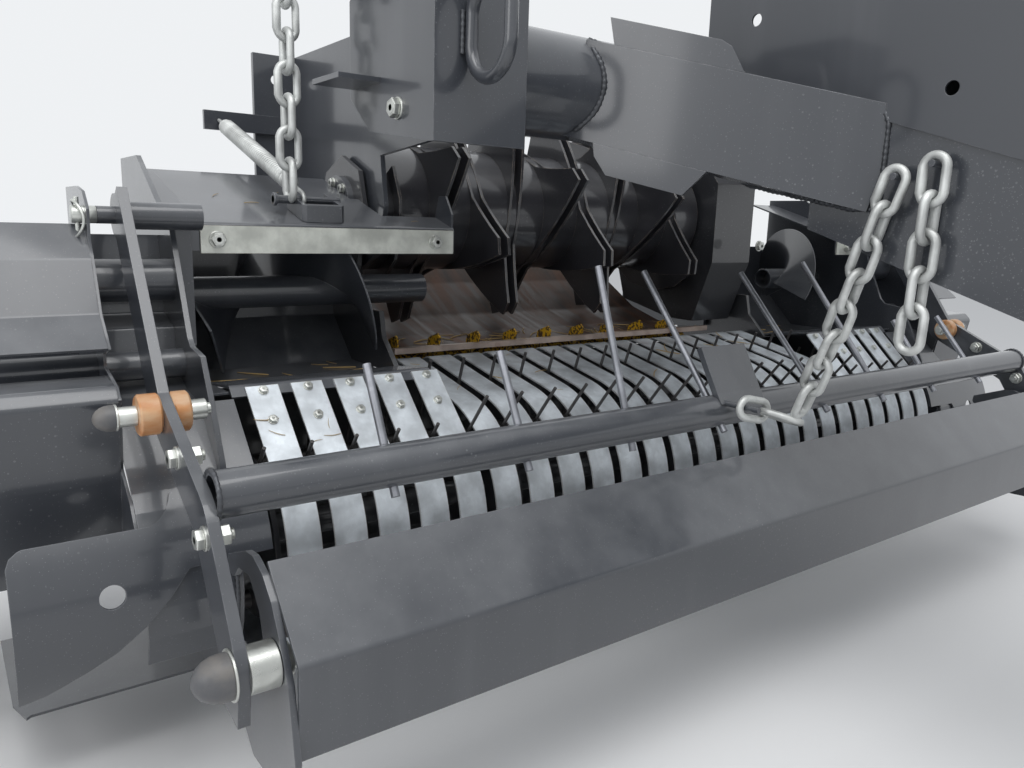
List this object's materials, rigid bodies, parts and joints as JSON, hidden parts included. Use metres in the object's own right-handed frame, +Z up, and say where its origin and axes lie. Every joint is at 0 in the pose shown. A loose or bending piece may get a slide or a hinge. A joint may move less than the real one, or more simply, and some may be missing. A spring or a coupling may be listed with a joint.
{
  "type": "front intake unit of a round baler",
  "caption": "Intake end of a round baler: tined pickup with guide bands, augers, crop guard and gauge wheels, feed rotor with knife floor, and drawbar.",
  "frame": {"origin": "centre of the four-bolt pattern on the rear flange's back face, which meets the bale chamber", "axes": "+Y from the hitch towards the bale chamber, +Z up, +X to the right seen from the front"},
  "size_m": [2.852, 2.338, 1.2955],
  "materials": {
    "dark_paint": "satin",
    "zinc": "galvanised",
    "yellow_zinc": "yellow zinc",
    "tine_steel": "oiled",
    "worn_steel": "worn, rusty",
    "chain": "galvanised",
    "bush": "translucent",
    "tyre": "matt"
  },
  "bodies": {
    "chassis": {"cheek_left": "dark_paint", "cheek_right": "dark_paint", "drive_case": "dark_paint", "knife_floor": "worn_steel", "knives": "worn_steel", "floor_bar": "worn_steel", "rear_beam": "dark_paint", "cross_tube": "dark_paint", "tube_brackets": "dark_paint", "bracket_shelves": "dark_paint", "lashing_ring": "dark_paint", "drawbar_legs": "dark_paint", "leg_gussets": "dark_paint", "drawbar_beam": "dark_paint", "drawbar_hood": "dark_paint", "hitch_eye": "dark_paint", "guard_chain": "chain", "lift_chain": "chain", "lift_spring": "chain", "lift_lever": "dark_paint", "spring_anchor": "dark_paint"},
    "pickup": {"pickup_back": "dark_paint", "pickup_beam": "dark_paint", "side_plates": "dark_paint", "pickup_arms": "dark_paint", "troughs": "dark_paint", "auger_cover_left": "dark_paint", "auger_cover_right": "dark_paint", "cover_strips": "yellow_zinc", "lift_eye": "yellow_zinc", "wheel_arms": "dark_paint", "side_covers": "dark_paint", "rolled_guards": "dark_paint", "bands_left": "zinc", "bands_centre": "zinc", "bands_right": "zinc", "guard_pivots": "dark_paint"},
    "reel": {"reel_core": "dark_paint", "tine_bars": "tine_steel"},
    "rotor": {"rotor_drum": "dark_paint", "rotor_scrolls": "dark_paint", "rotor_stars": "dark_paint"},
    "left_auger": {"auger_left": "dark_paint"},
    "right_auger": {"auger_right": "dark_paint"},
    "crop_guard": {"guard_tube": "dark_paint", "guard_rods": "zinc", "guard_arms": "dark_paint", "deflector_pins": "dark_paint", "bush_bolts": "dark_paint", "guard_bushes": "bush", "chain_bracket": "dark_paint"},
    "deflector_plate": {"deflector": "dark_paint"},
    "left_wheel": {"tyre_left": "tyre", "wheel_rim_left": "dark_paint"},
    "right_wheel": {"tyre_right": "tyre", "wheel_rim_right": "dark_paint"}
  },
  "joints": [
    {"name": "pickup_lift", "type": "hinge", "parent": "chassis", "child": "pickup", "pos_m": [0, -0.3, -0.025], "axis": [-1, 0, 0], "range_deg": [-4, 18], "deforming": ["lift_chain", "lift_spring", "guard_chain"]},
    {"name": "guard_lift", "type": "hinge", "parent": "pickup", "child": "crop_guard", "pos_m": [0, -0.58, -0.055], "axis": [-1, 0, 0], "range_deg": [0, 8], "deforming": ["guard_chain"]},
    {"name": "deflector_swing", "type": "hinge", "parent": "crop_guard", "child": "deflector_plate", "pos_m": [0, -1.067, -0.537], "axis": [-1, 0, 0], "range_deg": [-15, 30]},
    {"name": "reel_spin", "type": "hinge", "parent": "pickup", "child": "reel", "pos_m": [0, -0.64, -0.555], "axis": [1, 0, 0], "continuous": true},
    {"name": "rotor_spin", "type": "hinge", "parent": "chassis", "child": "rotor", "pos_m": [0, -0.3, -0.025], "axis": [1, 0, 0], "continuous": true},
    {"name": "left_auger_spin", "type": "hinge", "parent": "pickup", "child": "left_auger", "pos_m": [-0.7, -0.405, -0.187], "axis": [1, 0, 0], "continuous": true},
    {"name": "right_auger_spin", "type": "hinge", "parent": "pickup", "child": "right_auger", "pos_m": [0.8, -0.405, -0.187], "axis": [1, 0, 0], "continuous": true},
    {"name": "left_wheel_spin", "type": "hinge", "parent": "pickup", "child": "left_wheel", "pos_m": [-1.366, -0.34, -0.675], "axis": [1, 0, 0], "continuous": true},
    {"name": "right_wheel_spin", "type": "hinge", "parent": "pickup", "child": "right_wheel", "pos_m": [1.366, -0.34, -0.675], "axis": [1, 0, 0], "continuous": true}
  ]
}
